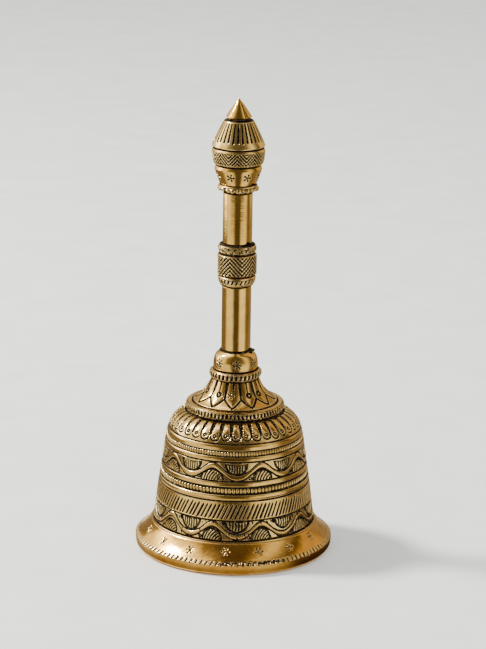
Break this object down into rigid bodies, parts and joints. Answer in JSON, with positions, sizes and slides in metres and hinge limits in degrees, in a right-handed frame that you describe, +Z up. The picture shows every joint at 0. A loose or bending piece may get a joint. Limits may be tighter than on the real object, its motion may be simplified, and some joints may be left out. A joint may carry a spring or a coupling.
{
  "type": "puja bell",
  "caption": "Brass hand bell with a flared mouth, banded engraved body, long handle of stacked turned pieces, pointed finial and a chained clapper that swings inside.",
  "frame": {"origin": "centre of the mouth's rim, in the plane that the bell stands on", "axes": "+Z up the bell's axis towards the pointed finial, -Y towards the viewer, +X to the viewer's right"},
  "size_m": [0.076, 0.076, 0.175],
  "materials": {
    "cast_brass": "cast and engraved brass, rubbed bright on the high spots, with dark patina in the engraving",
    "turned_brass": "turned and polished brass with fine lathe lines",
    "antique_brass": "knurled and beaded brass with dark patina",
    "steel": "dull drawn steel"
  },
  "bodies": {
    "bell": {"bell_shell": "cast_brass", "neck_bead_ring": "antique_brass", "handle_collar": "turned_brass", "lower_handle_tube": "turned_brass", "mid_lower_bead_ring": "antique_brass", "mid_knurled_sleeve": "antique_brass", "mid_upper_bead_ring": "antique_brass", "upper_handle_tube": "turned_brass", "finial_bead_ring": "antique_brass", "finial_cup": "turned_brass", "finial_knurled_band": "antique_brass", "finial_ribbed_dome": "turned_brass", "finial_washer": "antique_brass", "finial_cone_tip": "turned_brass", "tie_rod": "steel", "crown_washer": "steel", "crown_nut": "steel"},
    "link": {"clapper_link": "steel"},
    "clapper": {"clapper_stem": "steel", "clapper_ball": "antique_brass"}
  },
  "joints": [
    {"name": "link_swing", "type": "hinge", "parent": "bell", "child": "link", "pos_m": [0, 0, 0.0472], "axis": [1, 0, 0], "range_deg": [-10, 10]},
    {"name": "clapper_swing", "type": "hinge", "parent": "link", "child": "clapper", "pos_m": [0, 0, 0.0421], "axis": [0, 1, 0], "range_deg": [-39, 39]}
  ]
}
